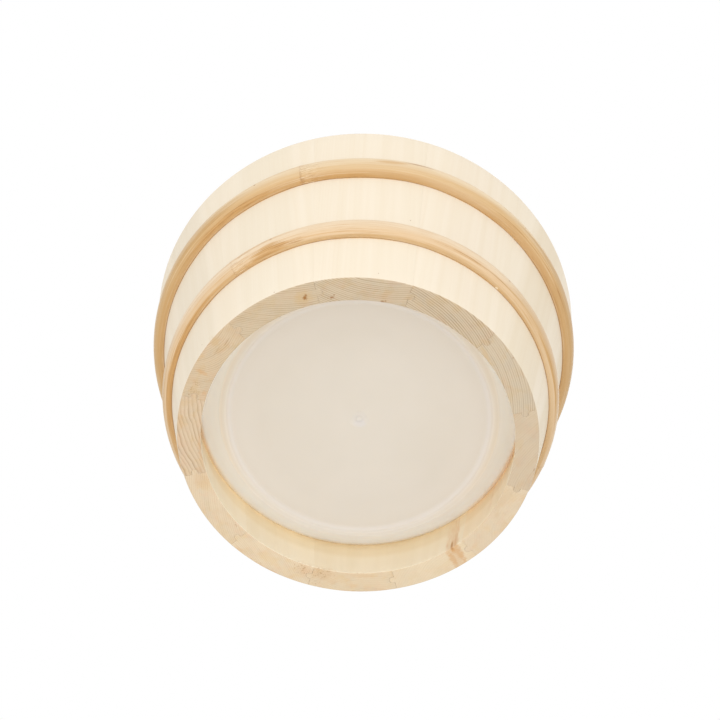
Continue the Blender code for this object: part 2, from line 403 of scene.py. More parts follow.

# Each stave was cut from another place in its log: where the pith lies from the middle of its
# foot (along the wall, outwards), the rings' spacing, how strong and how wavy they are, and how
# strongly the cut end is stained. Last comes a factor on the cut end's colour, which makes the
# far staves' ends lighter than the near ones'
Grain = namedtuple("Grain", "pith spacing contrast waviness stain tone")
STAVE_GRAIN = (
    Grain((18, 90), 1.22, 0.95, 0.35, 0.9, (0.965, 0.965, 0.965)),
    Grain((-25, -100), 1.32, 1.15, 0.25, 0.9, (0.955, 0.955, 0.955)),
    Grain((-13, -86), 1.30, 0.80, 0.30, 0.8, (0.97, 0.99, 1.02)),
    Grain((47, 68), 1.40, 0.35, 0.8, 0.7, (0.98, 0.97, 0.98)),
    Grain((-9, 38), 1.60, 0.12, 1.2, 0.8, (1.11, 1.10, 1.10)),
    Grain((-18, 47), 1.50, 0.18, 1.0, 0.5, (1.18, 1.19, 1.18)),
    Grain((-15, 60), 1.50, 0.22, 1.4, 0.9, (1.14, 1.12, 1.08)),
    Grain((87, 150), 1.20, 0.35, 0.6, 0.9, (1.19, 1.18, 1.16)),
    Grain((-40, -100), 1.30, 0.35, 0.6, 0.8, (1.15, 1.14, 1.13)),
    Grain((33, -121), 2.40, 0.82, 1.5, 1.0, (1.07, 1.03, 1.01)),
    Grain((21, 28), 1.25, 0.62, 0.9, 1.0, (1.02, 0.98, 0.93)),
    Grain((50, 90), 1.20, 0.80, 0.7, 0.7, (0.97, 0.96, 0.94)),
)
RING_WAVES = 4.0

# How dark the wood grows over a ring's width
LATE_WOOD = ((0.0, 0.10), (0.30, 0.02), (0.72, 0.55), (0.86, 1.0), (0.94, 0.85), (1.0, 0.10))

# Knots, resin, specks and a darker line along the foot's outer edge: (azimuth in degrees, radius,
# height), half sizes (along the wall, outwards, up the grain), colour and strength. Speckled marks
# are broken up into specks.
MARKS = (
    ((-10.4, 102, 0), (1.3, 0.8, 3), BROWN, 0.75),
    ((-9.5, 103.4, 0), (0.7, 0.6, 3), BROWN, 0.65),
    ((-11.8, 102, 0), (0.6, 0.4, 2), BROWN, 0.40),
    ((6.9, 99.6, 0), (1.3, 0.9, 3), BROWN, 0.70),
    ((7.9, 100.4, 0), (0.7, 0.7, 3), BROWN, 0.55),
    ((55, 113.3, 0.3), (0.5, 0.5, 2), BROWN, 0.50),
    ((49, 100.8, 0), (9, 1.6, 6), TAN, 0.45),
    ((96.9, 113.1, 0.3), (1.2, 0.6, 3), BROWN, 0.30),
    ((111.5, 101.4, 0), (11, 3.4, 8), TAN, 0.28),
    ((118, 103.6, 0), (2.4, 1.4, 4), TAN, 0.20),
    ((119.3, 112, 0), (0.9, 1.8, 4), AMBER, 0.18),
    ((120.2, 99.5, 22), (2.6, 4, 30), AMBER, 0.22),
    ((138.8, 105, 4), (2.4, 11, 36), AMBER, 0.46),
    ((142.4, 107.5, 4), (2, 9, 24), AMBER, 0.44),
    ((140.6, 106, 6), (5.4, 13, 50), AMBER, 0.34),
    ((140.1, 101.4, 4), (1.6, 3.4, 9), AMBER, 0.80),
    ((140, 100.4, 4), (0.9, 1.7, 6), BROWN, 0.60),
    ((191, 103.2, 0), (9.5, 5.4, 5), AMBER, 0.22),
    ((192, 102.6, 0), (9, 4.2, 2.5), SPECKLED, 0.80),
    ((192.6, 110.5, 0), (3.5, 2, 2.5), SPECKLED, 0.50),
    ((198, 103.4, 0), (7.5, 5.4, 5), AMBER, 0.22),
    ((198.6, 102.8, 0), (7.5, 4.6, 2.5), SPECKLED, 0.70),
    ((176, 101, 0), (10, 1.8, 5), AMBER, 0.20),
    ((187, 108, 0), (3, 2.2, 5), AMBER, 0.16),
    # A thin darker line along the foot's outer edge on the far side.
    ((182, 114.2, 0.6), (30, 1.1, 1.6), AMBER, 0.45),
    ((210, 114.2, 0.6), (30, 1.1, 1.6), AMBER, 0.60),
    ((214.6, 112.8, 0), (4.4, 1.2, 3), SPECKLED, 0.60),
    ((221.5, 112.6, 0), (5, 1.4, 4), AMBER, 0.24),
    ((230.4, 100.6, 0), (3, 0.7, 2), SPECKLED, 1.00),
    ((252.6, 103.8, 0), (7.5, 5.4, 12), AMBER, 0.20),
    ((256.4, 103.4, 0), (2.6, 2.6, 8), AMBER, 0.22),
    ((266.5, 99.8, 0), (10, 1.4, 8), AMBER, 0.30),
    ((276, 112, 0), (7, 1.8, 8), AMBER, 0.16),
    ((288.2, 101.2, 0), (1.6, 1.4, 3), AMBER, 0.28),
    ((285.9, 109.8, 0), (0.6, 0.5, 2), BROWN, 0.60),
    ((287.8, 107.8, 0), (2.2, 4, 2.5), SPECKLED, 0.90),
    ((290.8, 107.2, 0), (1.6, 4, 2.5), SPECKLED, 0.95),
    ((295.4, 107.6, 0), (1.5, 4.8, 10), AMBER, 0.38),
    ((307.4, 111.4, 0), (3.6, 2.6, 12), TAN, 0.55),
    ((305, 107.2, 0), (3.6, 0.35, 2), BROWN, 0.30),
    ((309.6, 106.2, 0), (3.4, 0.35, 2), BROWN, 0.45),
    ((340.4, 105.8, 0), (6, 4.4, 16), TAN, 0.55),
    ((340.9, 105.2, 0), (1.45, 1.55, 8), KNOT, 0.95),
    ((341.5, 106.4, 0), (0.8, 1, 8), KNOT, 0.80),
    ((-57.8, 115.6, 7.2), (0.35, 0.6, 0.6), BROWN, 0.55),
    ((-27.6, 114.4, 1.8), (0.4, 0.6, 0.6), BROWN, 0.55),
    ((4.4, 115.2, 5.4), (0.35, 0.6, 0.6), BROWN, 0.50),
    ((12.4, 128.8, 65.7), (0.4, 0.6, 0.6), BROWN, 0.50),
)


def wood_place(point, stave):
    """Where a point lies in a stave: along the wall, outwards and up the grain, in millimetres."""
    turned = Quaternion((0, 0, 1), -stave * STAVE_ANGLE) @ point
    from_origin = turned - Vector((0, -(FOOT_RADIUS - STAVE_THICKNESS / 2), 0))
    up_the_grain = Vector((0, -SLOPE_SIN, SLOPE_COS))
    outward = Vector((0, -SLOPE_COS, -SLOPE_SIN))
    return from_origin.x * MM, from_origin.dot(outward) * MM, from_origin.dot(up_the_grain) * MM


def stave_marks(stave):
    """The marks that lie in a stave, with their places in its own coordinates."""
    for (azimuth, radius, height), sizes, color, strength in MARKS:
        turn = math.radians(azimuth)
        if round(turn / STAVE_ANGLE) % STAVE_COUNT == stave:
            point = on_circle(radius / MM, turn, height / MM)
            yield wood_place(point, stave), sizes, color, strength


def growth_rings(shader, wood, stave):
    """Late wood of rings round a pith that runs up the grain."""
    grain = STAVE_GRAIN[stave]
    place = shader.vector("ADD", wood, (31.0 * stave, 47.0 * stave, 900.0 * stave))
    waves = RING_WAVES * grain.waviness
    warp = shader.wander(place, (0.045, 0.045, 0.008), (waves, waves, 0.0), detail=3.0)
    from_pith = shader.vector("SUBTRACT", wood, (*grain.pith, 0.0))
    from_pith = shader.vector("MULTIPLY", from_pith, (1.0, 1.0, 0.0))
    distance = shader.vector("LENGTH", shader.vector("ADD", from_pith, warp))
    rings = shader.math("DIVIDE", distance, grain.spacing)
    drift = shader.noise(shader.join(shader.times(rings, 0.25), float(stave)))
    rings = shader.math("ADD", drift, rings)
    late = shader.ramp(shader.math("FRACT", rings), LATE_WOOD)
    year = shader.node("TexWhiteNoise", {"W": shader.math("FLOOR", rings)}, noise_dimensions="1D")
    return shader.times(late, shader.span(year.outputs["Value"], 0.0, 1.0, 0.5, 1.0))


def hoop_shade_strength(shader, name):
    """How strong the painted shade along a hoop's lower edge is. The hoop sits askew, as its looks
    say.
    """
    bottom, looks = HOOP_SIZES[name][0], HOOP_LOOKS[name]
    radius = outer_radius(bottom)
    x, y, z = shader.split(shader.node("TexCoord", {}).outputs["Object"])
    edge = shader.math("MULTIPLY_ADD", x, looks["tilt"] / radius, bottom + looks["lift"])
    dip_azimuth, depth, half_width = looks["dip"]
    away = shader.minus(x, radius * math.radians(dip_azimuth))
    reach = radius * math.radians(DIP_REACH * half_width)
    dip = shader.fade(shader.math("ABSOLUTE", away), 0.0, reach, depth)
    dip = shader.times(dip, shader.fade(y, *FRONT))
    below = shader.minus(shader.minus(edge, dip), z)
    fading = shader.fade(below, *HOOP_SHADE_FADES)
    return shader.times(fading, shader.span(below, *HOOP_SHADE_SETS_IN))


def cut_end_color(shader, grain, place, late, cells):
    """Growth rings on a cut end, with patchy stains."""
    cloud = shader.stretched(place, (0.07, 0.07, 0.010), detail=2.0)
    color = shader.mix(shader.fade(cells, 0.25, 0.60, 0.35), END_PALE, END_DEEP)
    color = shader.mix(shader.span(cloud, 0.40, 0.75, 0.0, 0.35), color, END_DEEP)
    ring_strength = shader.span(cloud, 0.35, 0.65, grain.contrast, 0.6 * grain.contrast)
    color = shader.mix(shader.times(late, ring_strength), color, END_LATE)
    for index, stain in enumerate(END_STAINS):
        patches = shader.vector("ADD", place, (300.0 * index, 0.0, 0.0))
        patches = shader.stretched(patches, (0.10, 0.13, 0.02), detail=3.0, roughness=0.6)
        color = shader.tint(shader.span(patches, 0.47, 0.68, 0.0, grain.stain), color, stain)
    # A factor per stave on the cut end's colour: the far staves' ends are lighter than the near
    # ones'.
    return shader.tint(1.0, color, grain.tone)


def add_marks(shader, color, stave, wood, place):
    """Colour of a stave with its marks, whose outlines are ragged."""
    ragged = shader.wander(place, (0.60, 0.60, 0.08), (1.5, 1.5, 1.5), detail=4.0)
    specks = shader.span(shader.stretched(place, (1.15, 1.15, 0.3), detail=2.0), 0.55, 0.66)
    for centre, sizes, mark_color, strength in stave_marks(stave):
        away = shader.vector("DIVIDE", shader.vector("SUBTRACT", wood, centre), sizes)
        away = shader.vector("LENGTH", shader.vector("ADD", away, ragged))
        mark = shader.fade(away, *MARK_FADES, strength)
        if mark_color == SPECKLED:
            mark = shader.times(mark, specks)
        color = shader.mix(mark, color, mark_color)
    return color


def softwood_material(stave):
    """Softwood: streaks and ring lines on the long grain, and growth rings on the cut ends."""
    grain = STAVE_GRAIN[stave]
    shader = Shader(f"softwood_{stave + 1:02d}")
    wood = shader.attribute("wood")
    _, outward, up_grain = shader.split(wood)
    inner_face = shader.fade(outward, *INNER_FACE)
    outer_face = shader.span(outward, *OUTER_FACE)
    place = shader.vector("ADD", wood, (17.0 * stave, 5.0 * stave, 700.0 * stave))
    late = growth_rings(shader, wood, stave)
    fibres = shader.stretched(place, (1.1, 1.1, 0.014), detail=5.0, roughness=0.62)
    bands = shader.stretched(place, (0.16, 0.16, 0.004), detail=3.0)
    cells = shader.stretched(place, (1.6, 1.6, 0.6), detail=3.0, roughness=0.6)

    color = shader.mix(shader.span(bands, 0.30, 0.70), LONG_DEEP, LONG_PALE)
    color = shader.mix(shader.fade(fibres, 0.25, 0.50, 0.20), color, LONG_DEEP)
    long_late = shader.times(late, 0.03 + 0.06 * grain.contrast)
    color = shader.mix(long_late, color, LONG_LATE)
    # Painted light: the whole inside face is made a little lighter.
    color = shader.tint(inner_face, color, INNER_PAINTED_LIGHT)
    if stave in INNER_FACE_LEVELS:
        color = shader.tint(inner_face, color, INNER_FACE_LEVELS[stave])
    # Painted shade: the inside is darker deep in the recess.
    in_recess = shader.times(inner_face, shader.span(up_grain, *RECESS_SETS_IN))
    color = shader.tint(in_recess, color, RECESS_PAINTED_SHADE)
    if stave in OUTER_TONES:
        color = shader.tint(outer_face, color, OUTER_TONES[stave])
    ragged_edge = shader.times(outer_face, shader.span(fibres, 0.35, 0.60, 0.5, 1.0))
    # Painted shade: a thin warm dark line on the wall under each hoop's lower edge.
    for hoop in HOOP_SIZES:
        stain = shader.times(hoop_shade_strength(shader, hoop), ragged_edge)
        color = shader.tint(stain, color, HOOP_CONTACT_SHADE)

    normal = shader.split(shader.node("NewGeometry", {}).outputs["Normal"])
    cut = shader.span(shader.math("ABSOLUTE", normal[2]), *CUT_END)
    color = shader.mix(cut, color, cut_end_color(shader, grain, place, late, cells))
    color = add_marks(shader, color, stave, wood, place)
    # Painted light: the inside is lighter near the liner's seat, as if lit through the plastic.
    near_seat = shader.times(inner_face, shader.span(up_grain, *SEAT_SETS_IN))
    color = shader.tint(near_seat, color, SEAT_PAINTED_LIGHT)

    roughness = shader.span(fibres, 0.3, 0.7, *WOOD_ROUGHNESS)
    relief = shader.math("ADD", fibres, shader.math("MULTIPLY_ADD", late, 0.5, cells))
    return shader.finish(color, roughness, WOOD_SPECULAR, relief, WOOD_RELIEF)


def stave_section(height, inset, sink):
    """Outline at one height of a stave centred on -Y: outer arc, tongue, inner arc, groove.

    The inset draws both turned faces in at the eased ends. The sink moves them to the axis.
    """
    outside = outer_radius(height) - inset - sink
    inside = inner_radius(height) - seat_fullness(height) + inset - sink
    middle = (outer_radius(height) + inner_radius(height)) / 2
    arc_steps, tongue_steps = 24, 10

    def arc(radius):
        points = [on_circle(radius, -HALF_STAVE, height, JOINT_GAP_AT_SURFACE / 2)]
        for step in range(1, arc_steps):
            points.append(on_circle(radius, -HALF_STAVE + STAVE_ANGLE * step / arc_steps, height))
        points.append(on_circle(radius, HALF_STAVE, height, -JOINT_GAP_AT_SURFACE / 2))
        return points

    def joint(azimuth, side, widen):
        """The joint's face from the inside of the wall out, with its tongue or groove."""
        half_width = TONGUE_WIDTH / 2 + widen
        straight = TONGUE_DEPTH - half_width
        profile = [(inside + JOINT_CLOSES_OVER - middle, 0.0), (-half_width, 0.0)]
        for step in range(tongue_steps + 1):
            angle = math.pi * step / tongue_steps
            profile.append((-half_width * math.cos(angle), straight + half_width * math.sin(angle)))
        profile.append((half_width, 0.0))
        profile.append((outside - JOINT_CLOSES_OVER - middle, 0.0))
        return [
            on_circle(middle + across, azimuth, height, side + along) for across, along in profile
        ]

    outline = arc(outside)
    outline.extend(reversed(joint(HALF_STAVE, -JOINT_GAP / 2, 0.0)))
    outline.extend(reversed(arc(inside)))
    outline.extend(joint(-HALF_STAVE, JOINT_GAP / 2, JOINT_GAP))
    return outline


def make_stave(stave):
    """One stave, turned smooth, with eased ends and a tongue and groove."""
    edge_steps, height_steps = 5, 16

    def eased(radius):
        angles = [math.pi / 2 * step / edge_steps for step in range(edge_steps + 1)]
        return [
            (radius * (1 - math.cos(angle)), radius * (1 - math.sin(angle))) for angle in angles
        ]

    levels = eased(FOOT_EDGE_RADIUS)
    straight = BUCKET_HEIGHT - FOOT_EDGE_RADIUS - STAVE_EDGE_RADIUS
    heights = [FOOT_EDGE_RADIUS + straight * step / height_steps for step in range(1, height_steps)]
    for height in sorted(heights + [SEAT_HEIGHT, SEAT_HEIGHT + SEAT_RUNOUT]):
        levels.append((height, 0.0))
    for height, inset in reversed(eased(STAVE_EDGE_RADIUS)):
        levels.append((BUCKET_HEIGHT - height, inset))

    sink = random.Random(stave).uniform(0.0, STAVE_UNEVENNESS)
    turn = Quaternion((0, 0, 1), stave * STAVE_ANGLE)
    rings = []
    for height, inset in levels:
        rings.append([turn @ point for point in stave_section(height, inset, sink)])
    name = f"stave_{stave + 1:02d}"
    mesh = skin("fine_" + name, rings)
    add_coordinates(mesh, "wood", [wood_place(point, stave) for ring in rings for point in ring])
    finish_piece(name, mesh, softwood_material(stave), "shell")


# Bamboo

HONEY = (0.56, 0.345, 0.135)
GOLD = (0.60, 0.345, 0.125)
RUST = (0.43, 0.21, 0.055)
NODE_BROWN = (0.38, 0.19, 0.07)
FIBRE_PALE = (0.88, 0.74, 0.53)
BAMBOO_ROUGHNESS = (0.38, 0.50)
BAMBOO_SPECULAR = 0.45
BAMBOO_RELIEF = (0.00012, 0.7)

# Azimuths are in degrees, and shares are of a hoop's girth, from its lower edge over its face. The
# seed sets its fibres and its unevenness. The colours are of its edge, its face and its far flank,
# and the last two begin at shares. Its height swings from side to side by the tilt, with the lift
# added all round, and it dips at (azimuth, depth, half width), where a depth of 0 is none. Patches
# of darker or paler skin lie at (azimuth, share), with (half length, half share), colour and
# strength.
LOWER_PATCHES = (
    ((-80, 0.12), (72, 0.21), GOLD, 0.95),
    ((-76, 0.16), (60, 0.17), RUST, 0.55),
    ((-34, 0.12), (9, 0.08), GOLD, 0.60),
    ((-28, 0.60), (6, 0.14), GOLD, 0.55),
    ((-26, 0.42), (9, 0.20), RUST, 0.80),
    ((-28, 0.32), (15, 0.25), GOLD, 0.80),
    ((-28, 0.32), (14, 0.24), RUST, 0.95),
    ((-19.8, 0.30), (8, 0.16), RUST, 0.90),
    ((-9, 0.09), (20, 0.07), RUST, 0.50),
    ((-2, 0.35), (18, 0.25), RUST, 0.30),
    ((36, 0.49), (34, 0.045), RUST, 0.95),
    ((40, 0.50), (14, 0.025), NODE_BROWN, 0.35),
    ((76, 0.36), (34, 0.08), GOLD, 0.90),
    ((77, 0.37), (30, 0.07), RUST, 0.95),
    ((-84, 0.80), (44, 0.40), HONEY, 0.35),
    ((68, 0.66), (64, 0.42), HONEY, 0.48),
    ((78, 0.14), (40, 0.14), FIBRE_PALE, 0.20),
    ((41.9, 0.04), (1.0, 0.05), FIBRE_PALE, 0.80),
    ((44.4, 0.95), (1.0, 0.05), NODE_BROWN, 0.60),
    ((-27, 0.96), (0.8, 0.05), NODE_BROWN, 0.50),
)
UPPER_PATCHES = (
    ((-52, 0.60), (32, 0.10), GOLD, 0.50),
    ((-50, 0.59), (36, 0.10), RUST, 0.85),
    ((-40, 0.22), (48, 0.12), GOLD, 0.70),
    ((-40, 0.22), (46, 0.13), RUST, 1.0),
    ((-82, 0.34), (40, 0.34), GOLD, 0.45),
    ((-18.0, 0.14), (2.2, 0.20), RUST, 0.95),
    ((-8, 0.14), (24, 0.12), GOLD, 0.60),
    ((-8, 0.12), (22, 0.10), RUST, 0.50),
    ((5.5, 0.84), (11, 0.11), GOLD, 0.60),
    ((13, 0.97), (10, 0.04), NODE_BROWN, 0.70),
    ((54, 0.42), (56, 0.06), RUST, 0.80),
    ((70, 0.42), (46, 0.12), GOLD, 0.60),
    ((68, 0.08), (50, 0.06), RUST, 0.90),
    ((72, 0.42), (44, 0.12), RUST, 0.90),
    ((-55, 0.78), (50, 0.34), HONEY, 0.60),
    ((-80, 0.35), (66, 0.50), HONEY, 0.50),
    ((84, 0.35), (54, 0.50), HONEY, 0.50),
    ((80, 0.84), (84, 0.42), HONEY, 0.95),
    ((-6, 0.62), (76, 0.24), FIBRE_PALE, 0.18),
    ((25, 0.26), (30, 0.26), FIBRE_PALE, 0.12),
    ((26, 0.88), (34, 0.24), FIBRE_PALE, 0.30),
    ((-31, 0.95), (0.9, 0.04), NODE_BROWN, 0.60),
    ((46, 0.93), (0.9, 0.04), NODE_BROWN, 0.60),
)
HOOP_LOOKS = {
    "lower_hoop": dict(
        seed=3.0, nodes=(-40.1, 107, 221), node_line=0.25, face_from=0.22, flank_from=0.60,
        colors=((0.63, 0.42, 0.21), (0.715, 0.505, 0.295), (0.80, 0.625, 0.425)),
        tilt=0.0018, lift=-0.0002, dip=(0, 0.0, 10),
        patches=LOWER_PATCHES,
    ),
    "upper_hoop": dict(
        seed=11.0, nodes=(-18.2, 118, 238), node_line=0.50, face_from=0.36, flank_from=0.76,
        colors=((0.585, 0.355, 0.15), (0.66, 0.435, 0.205), (0.79, 0.62, 0.40)),
        tilt=0.0019, lift=-0.0002, dip=(-2, 0.0009, 10),
        patches=UPPER_PATCHES,
    ),
}

# A hoop's girth, in widths, how its colours blend, and where patches fade, in half sizes
HOOP_GIRTH = 1.09
FACE_BLENDS = 0.12
FLANK_BLENDS = 0.20
PATCH_FADES = (0.5, 1.2)

# How far off a node its line fades, how far along the strip its torn fibres set in and fade, and
# how far out from the wall the low side's dark line fades: the edge's brown skin, with painted
# shade where it meets the wall
NODE_LINE_FADES = (0.15, 0.85)
BURST_SETS_IN = (-1.0, 1.0)
BURST_FADES = (4.0, 22.0)
CONTACT_FADES = (0.55 / 3, 0.55)
CONTACT_STRENGTH = 0.8
LOW_SIDE_FADES = (0.15, 0.30)


def hoop_radius(name):
    """Radius to the middle of a hoop's section."""
    bottom, width, thickness, _ = HOOP_SIZES[name]
    return outer_radius(bottom + width * SLOPE_COS / 2) + HOOP_CLEARANCE + thickness / 2


def along_strip(name, azimuth):
    """Millimetres along a hoop's strip, which starts at its joint, to an azimuth in degrees."""
    joint = math.degrees(HOOP_SIZES[name][3])
    return math.radians((azimuth - joint) % 360 + joint) * hoop_radius(name) * MM


def bamboo_material(name):
    """Split bamboo: fibres along the strip, a pale flank, patches and brown nodes."""
    looks = HOOP_LOOKS[name]
    width = HOOP_SIZES[name][1] * MM
    seed = looks["seed"]
    shader = Shader("bamboo_" + name)
    along, across, outward = shader.split(shader.attribute("strip"))
    share = shader.math("DIVIDE", shader.math("ADD", across, outward), width * HOOP_GIRTH)

    def fibre_noise(along_scale, across_scale, offset=0.0, **settings):
        x = shader.times(along, along_scale)
        y = shader.times(shader.math("ADD", across, outward), across_scale)
        return shader.noise(shader.join(x, y, seed + offset), **settings)

    streaks = fibre_noise(0.012, 0.55, detail=5.0, roughness=0.62)
    fibres = fibre_noise(0.060, 3.2, offset=40.0, detail=4.0, roughness=0.6)
    wander = fibre_noise(0.010, 0.10, offset=80.0, detail=2.0)

    edge, face, flank = looks["colors"]
    place = shader.math("MULTIPLY_ADD", shader.minus(wander, 0.5), 0.30, share)
    face_from, flank_from = looks["face_from"], looks["flank_from"]
    on_face = shader.span(place, face_from - FACE_BLENDS, face_from + FACE_BLENDS)
    on_flank = shader.span(place, flank_from - FLANK_BLENDS, flank_from + FLANK_BLENDS)
    color = shader.mix(on_flank, shader.mix(on_face, edge, face), flank)
    color = shader.mix(shader.fade(streaks, 0.30, 0.50, 0.60), color, GOLD)
    color = shader.mix(shader.span(streaks, 0.50, 0.70, 0.0, 0.32), color, FIBRE_PALE)
    color = shader.mix(shader.span(fibres, 0.52, 0.72, 0.0, 0.28), color, FIBRE_PALE)
    color = shader.mix(shader.fade(fibres, 0.30, 0.48, 0.50), color, GOLD)

    torn = shader.times(shader.minus(streaks, 0.5), 2.0)
    torn = shader.math("MULTIPLY_ADD", shader.minus(fibres, 0.5), 1.4, torn)
    lines = fibre_noise(0.035, 1.5, offset=120.0, detail=4.0, roughness=0.6)
    lines = shader.span(lines, 0.47, 0.60)
    for (azimuth, middle), (half_length, half_share), patch_color, strength in looks["patches"]:
        x = shader.minus(along, along_strip(name, azimuth))
        y = shader.minus(share, middle)
        away = shader.vector("DIVIDE", shader.join(x, y), (half_length, half_share, 1.0))
        away = shader.math("ADD", shader.vector("LENGTH", away), torn)
        patch = shader.fade(away, *PATCH_FADES, strength)
        if patch_color == RUST:
            patch = shader.times(patch, lines)
        color = shader.mix(patch, color, patch_color)

    relief = shader.math("ADD", fibres, streaks)
    for azimuth in looks["nodes"]:
        bend = shader.minus(fibre_noise(0.0, 0.4, offset=azimuth, detail=3.0), 0.5)
        offset = shader.minus(along, along_strip(name, azimuth))
        line = shader.math("ABSOLUTE", shader.math("MULTIPLY_ADD", bend, 4.0, offset))
        line = shader.fade(line, *NODE_LINE_FADES)
        line = shader.times(line, looks["node_line"])
        line = shader.times(line, shader.span(share, 0.30, 0.80, 1.0, 0.45))
        burst = fibre_noise(0.16, 1.6, offset=azimuth + 5.0, detail=3.0, roughness=0.7)
        near = shader.fade(offset, *BURST_FADES)
        near = shader.times(shader.span(offset, *BURST_SETS_IN), near)
        dark = shader.times(shader.span(burst, 0.54, 0.66, 0.0, 0.65), near)
        pale = shader.times(shader.fade(burst, 0.34, 0.46, 0.7), near)
        color = shader.mix(pale, color, FIBRE_PALE)
        color = shader.mix(shader.math("MAXIMUM", line, dark), color, NODE_BROWN)
        relief = shader.minus(relief, line)

    # The low side's dark line next to the wall: the edge's brown skin, with painted shade where it
    # meets the wall.
    low_side = shader.fade(share, *LOW_SIDE_FADES)
    at_wall = shader.fade(outward, *CONTACT_FADES, CONTACT_STRENGTH)
    color = shader.mix(shader.times(at_wall, low_side), color, NODE_BROWN)
    roughness = shader.span(streaks, 0.3, 0.7, *BAMBOO_ROUGHNESS)
    return shader.finish(color, roughness, BAMBOO_SPECULAR, relief, BAMBOO_RELIEF)


def hoop_section(width, thickness, low, high):
    """D-shaped outline as (across, outward), kept between two distances from its flat back."""
    arc_steps, back_steps = 28, 4
    start = math.asin(min(low / thickness, 0.98) ** (HOOP_ROUNDNESS / 2))
    outline = []
    for step in range(arc_steps + 1):
        angle = start + (math.pi - 2 * start) * step / arc_steps
        side = math.copysign(abs(math.cos(angle)) ** (2 / HOOP_ROUNDNESS), math.cos(angle))
        rise = thickness * max(math.sin(angle), 0.0) ** (2 / HOOP_ROUNDNESS)
        outline.append((width * (1 + side) / 2, min(max(rise, low), high)))
    top, bottom = outline[0][0], outline[-1][0]
    for step in range(1, back_steps):
        outline.append((bottom + (top - bottom) * step / back_steps, low))
    return outline


def make_hoop(name):
    """A strip bent round the wall, a little uneven, whose ends overlap in a slanted scarf."""
    bottom, width, thickness, joint = HOOP_SIZES[name]
    looks = HOOP_LOOKS[name]
    radius = hoop_radius(name)
    lap = thickness / math.tan(SCARF_ANGLE) / radius
    chance = random.Random(looks["seed"])
    waves = [
        (chance.randint(2, 9), chance.uniform(0, 2 * math.pi), chance.uniform(-1, 1))
        for _ in range(HOOP_WAVES)
    ]

    def wave(azimuth, shift):
        parts = (size * math.sin(count * azimuth + phase * shift) for count, phase, size in waves)
        return sum(parts) / len(waves)

    turn = 2 * math.pi + lap
    steps = 420
    rings = []
    coordinates = []
    start = joint - lap / 2
    for step in range(steps + 1):
        azimuth = start + turn * step / steps
        near_node = 0.0
        for node in looks["nodes"]:
            off = (azimuth - math.radians(node) + math.pi) % (2 * math.pi) - math.pi
            bell = math.exp(-(off * radius / NODE_HALF_LENGTH) ** 2)
            near_node = max(near_node, bell)
        local_width = width * (1 + HOOP_WIDTH_VARIES * wave(azimuth, 1.0))
        local_width += NODE_WIDENS * near_node
        thinner = HOOP_THICKNESS_VARIES
        local_thickness = thickness * (1 - thinner + thinner * wave(azimuth, 2.0))
        local_thickness += NODE_THICKENS * near_node
        low, high = 0.0, 1.0
        past_start = azimuth - start
        before_end = start + turn - azimuth
        if past_start < lap:
            low = local_thickness * (1 - past_start / lap)
        if before_end < lap:
            high = max(local_thickness * before_end / lap - SCARF_GAP, SCARF_TIP)
        dip_azimuth, depth, half_width = looks["dip"]
        off_dip = math.degrees(azimuth) % 360 - dip_azimuth % 360
        shift = looks["lift"] + looks["tilt"] * math.sin(azimuth)
        shift += HOOP_HEIGHT_VARIES * wave(azimuth, 3.0)
        shift -= depth * math.exp(-(((off_dip + 180) % 360 - 180) / half_width) ** 2)
        ring = []
        for across, outward in hoop_section(local_width, local_thickness, low, high):
            up = across + shift
            out = outward + HOOP_FINE_CLEARANCE
            from_axis = outer_radius(bottom) + up * SLOPE_SIN + out * SLOPE_COS
            height = bottom + up * SLOPE_COS - out * SLOPE_SIN
            ring.append(on_circle(from_axis, azimuth, height))
            coordinates.append((azimuth * radius * MM, across * MM, outward * MM))
        rings.append(ring)
    mesh = skin("fine_" + name, rings)
    add_coordinates(mesh, "strip", coordinates)
    finish_piece(name, mesh, bamboo_material(name), "shell")


# Liner

# The plastic's two mixed colours over the flat, and paler colours further out, which each set in
# between two radii. These are painted light: they stand in for light on the foot ring, for light
# through the plastic and off the wood into the corner, and for a highlight near the knee.
PLASTIC_FLAT = ((0.59, 0.500, 0.400), (0.62, 0.525, 0.425))
PAINTED_GLOW_BANDS = (
    (0.0600, 0.0800, (0.645, 0.55, 0.45)),
    (0.0815, 0.0850, (0.69, 0.61, 0.54)),
    (0.0858, 0.0872, (0.79, 0.725, 0.66)),
    (0.0893, 0.0925, (0.955, 0.90, 0.85)),
    (0.0930, 0.0970, (0.97, 0.94, 0.90)),
    (0.0970, 0.1030, (0.99, 0.98, 0.96)),
)

# Share of the light that scatters inside the flat and inside the corner, which meet over a band of
# radii, and how far it falls at the knee
PLASTIC_GLOW = (0.62, 1.0)
GLOW_BAND = (0.0893, 0.0925)
KNEE_GLOW = 0.15
KNEE_BAND = (0.1035, 0.1065)
SCATTER_COLOR = (1.0, 0.85, 0.7)
SCATTER_LENGTH = 0.030

# Painted light on the gate's dimple, a pale spot on its lit side: its place, half sizes, colour,
# strength and fading
GATE_LIGHT_PLACE = (0.0007, 0.0030, 0.0)
GATE_LIGHT_SIZES = (0.0045, 0.0030)
GATE_LIGHT_COLOR = (0.585, 0.512, 0.466)
GATE_LIGHT_STRENGTH = 0.8
GATE_LIGHT_FADES = (0.45, 1.15)

# A painted reflection of the wood warms the corner at the sides: it sets in over a band of radii
# and fades towards +Y. The wall's colour sets in over a band of heights.
PAINTED_WOOD_REFLECTION = (1.0, 0.90, 0.76)
REFLECTION_BAND = (0.0835, 0.0905)
REFLECTION_FADES = (0.015, 0.088)
PLASTIC_WALL = (0.90, 0.855, 0.785)
WALL_BAND = (0.0475, 0.0510)

PLASTIC_ROUGHNESS = (0.40, 0.48)
PLASTIC_SPECULAR = 0.45
PLASTIC_RELIEF = (0.00002, 0.4)

